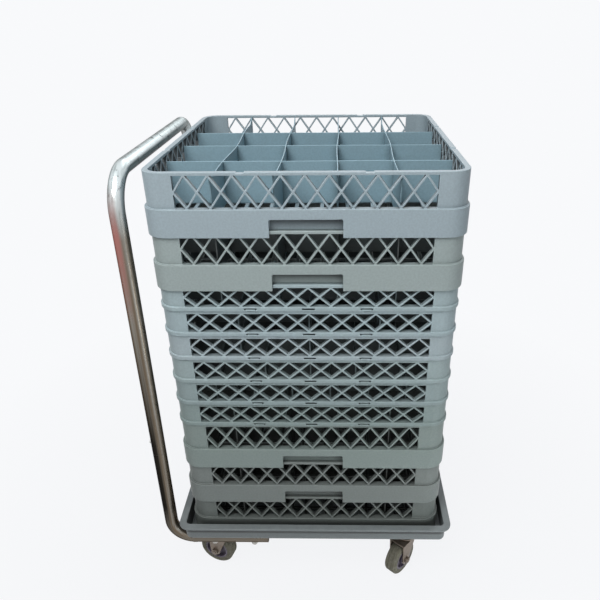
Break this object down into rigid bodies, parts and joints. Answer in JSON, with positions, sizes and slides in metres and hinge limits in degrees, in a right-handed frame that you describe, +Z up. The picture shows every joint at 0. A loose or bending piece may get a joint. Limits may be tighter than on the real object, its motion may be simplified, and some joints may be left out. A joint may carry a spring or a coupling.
{
  "type": "glass rack dolly",
  "caption": "Low plastic tray on swivel casters with a tubular push handle, carrying a stack of square lattice-walled glass racks and extenders with divided compartments.",
  "frame": {"origin": "on the floor, under the middle of the dolly's outline", "axes": "+X from the handle's end to the far end, +Y from front to rear, +Z up"},
  "size_m": [0.5795, 0.546, 0.8755],
  "materials": {
    "tray_plastic": "matte moulded",
    "stainless_tube": "polished",
    "pressed_steel": "zinc plated",
    "zinc_fastener": "zinc plated",
    "spring_steel": "plain",
    "hub_plastic": "moulded",
    "tyre_rubber": "matte",
    "rack_plastic": "matte moulded",
    "divider_plastic": "matte moulded",
    "extender_plastic": "matte moulded"
  },
  "bodies": {
    "dolly": {"tray": "tray_plastic", "leg_front": "stainless_tube", "leg_rear": "stainless_tube", "push_handle": "stainless_tube", "button_spring_front": "spring_steel", "button_spring_rear": "spring_steel", "leg_bolts": "zinc_fastener", "leg_nuts": "zinc_fastener", "plate_bolts": "zinc_fastener", "plate_nuts": "zinc_fastener", "caster_plates": "pressed_steel", "king_pins": "zinc_fastener"},
    "button_front": {"button_front": "zinc_fastener"},
    "button_rear": {"button_rear": "zinc_fastener"},
    "caster_front_left": {"fork_front_left": "pressed_steel", "axle_front_left": "zinc_fastener", "axle_nut_front_left": "zinc_fastener", "bush_front_left": "spring_steel"},
    "wheel_front_left": {"hub_front_left": "hub_plastic", "tyre_front_left": "tyre_rubber"},
    "caster_front_right": {"fork_front_right": "pressed_steel", "axle_front_right": "zinc_fastener", "axle_nut_front_right": "zinc_fastener", "bush_front_right": "spring_steel"},
    "wheel_front_right": {"hub_front_right": "hub_plastic", "tyre_front_right": "tyre_rubber"},
    "caster_rear_left": {"fork_rear_left": "pressed_steel", "axle_rear_left": "zinc_fastener", "axle_nut_rear_left": "zinc_fastener", "bush_rear_left": "spring_steel"},
    "wheel_rear_left": {"hub_rear_left": "hub_plastic", "tyre_rear_left": "tyre_rubber"},
    "caster_rear_right": {"fork_rear_right": "pressed_steel", "axle_rear_right": "zinc_fastener", "axle_nut_rear_right": "zinc_fastener", "bush_rear_right": "spring_steel"},
    "wheel_rear_right": {"hub_rear_right": "hub_plastic", "tyre_rear_right": "tyre_rubber"},
    "rack_1": {"rack_1": "rack_plastic", "dividers_1": "divider_plastic"},
    "rack_2": {"rack_2": "rack_plastic", "dividers_2": "divider_plastic"},
    "rack_3": {"rack_3": "rack_plastic", "dividers_3": "divider_plastic", "extender_1": "extender_plastic", "extender_2": "extender_plastic", "extender_3": "extender_plastic", "extender_4": "extender_plastic", "extender_5": "extender_plastic", "extender_6": "extender_plastic"},
    "rack_4": {"rack_4": "rack_plastic", "dividers_4": "divider_plastic"},
    "rack_5": {"rack_5": "rack_plastic", "dividers_5": "divider_plastic"}
  },
  "joints": [
    {"name": "swivel_front_left", "type": "hinge", "parent": "dolly", "child": "caster_front_left", "pos_m": [-0.17625, -0.211, 0.08], "axis": [0, 0, 1], "continuous": true},
    {"name": "roll_front_left", "type": "hinge", "parent": "caster_front_left", "child": "wheel_front_left", "pos_m": [-0.19717, -0.2042, 0.0375], "axis": [0.309, 0.9511, 0], "continuous": true},
    {"name": "swivel_front_right", "type": "hinge", "parent": "dolly", "child": "caster_front_right", "pos_m": [0.20975, -0.211, 0.08], "axis": [0, 0, 1], "continuous": true},
    {"name": "roll_front_right", "type": "hinge", "parent": "caster_front_right", "child": "wheel_front_right", "pos_m": [0.19561, -0.22785, 0.0375], "axis": [-0.766, 0.6428, 0], "continuous": true},
    {"name": "swivel_rear_left", "type": "hinge", "parent": "dolly", "child": "caster_rear_left", "pos_m": [-0.17625, 0.211, 0.08], "axis": [0, 0, 1], "continuous": true},
    {"name": "roll_rear_left", "type": "hinge", "parent": "caster_rear_left", "child": "wheel_rear_left", "pos_m": [-0.19717, 0.2042, 0.0375], "axis": [-0.309, 0.9511, 0], "continuous": true},
    {"name": "swivel_rear_right", "type": "hinge", "parent": "dolly", "child": "caster_rear_right", "pos_m": [0.20975, 0.211, 0.08], "axis": [0, 0, 1], "continuous": true},
    {"name": "roll_rear_right", "type": "hinge", "parent": "caster_rear_right", "child": "wheel_rear_right", "pos_m": [0.19561, 0.22785, 0.0375], "axis": [0.766, 0.6428, 0], "continuous": true},
    {"name": "press_front", "type": "slide", "parent": "dolly", "child": "button_front", "axis": [0.9999, 0, -0.0113], "range_m": [0, 0.0045], "stiffness_N_per_m": 400, "springref_m": -0.002, "deforming": ["button_spring_front"]},
    {"name": "press_rear", "type": "slide", "parent": "dolly", "child": "button_rear", "axis": [0.9999, 0, -0.0113], "range_m": [0, 0.0045], "stiffness_N_per_m": 400, "springref_m": -0.002, "deforming": ["button_spring_rear"]},
    {"name": "lift_rack_1", "type": "slide", "parent": "dolly", "child": "rack_1", "axis": [0, 0, 1], "range_m": [0, 0.15]},
    {"name": "lift_rack_2", "type": "slide", "parent": "rack_1", "child": "rack_2", "axis": [0, 0, 1], "range_m": [0, 0.15]},
    {"name": "lift_rack_3", "type": "slide", "parent": "rack_2", "child": "rack_3", "axis": [0, 0, 1], "range_m": [0, 0.15]},
    {"name": "lift_rack_4", "type": "slide", "parent": "rack_3", "child": "rack_4", "axis": [0, 0, 1], "range_m": [0, 0.15]},
    {"name": "lift_rack_5", "type": "slide", "parent": "rack_4", "child": "rack_5", "axis": [0, 0, 1], "range_m": [0, 0.15]}
  ]
}
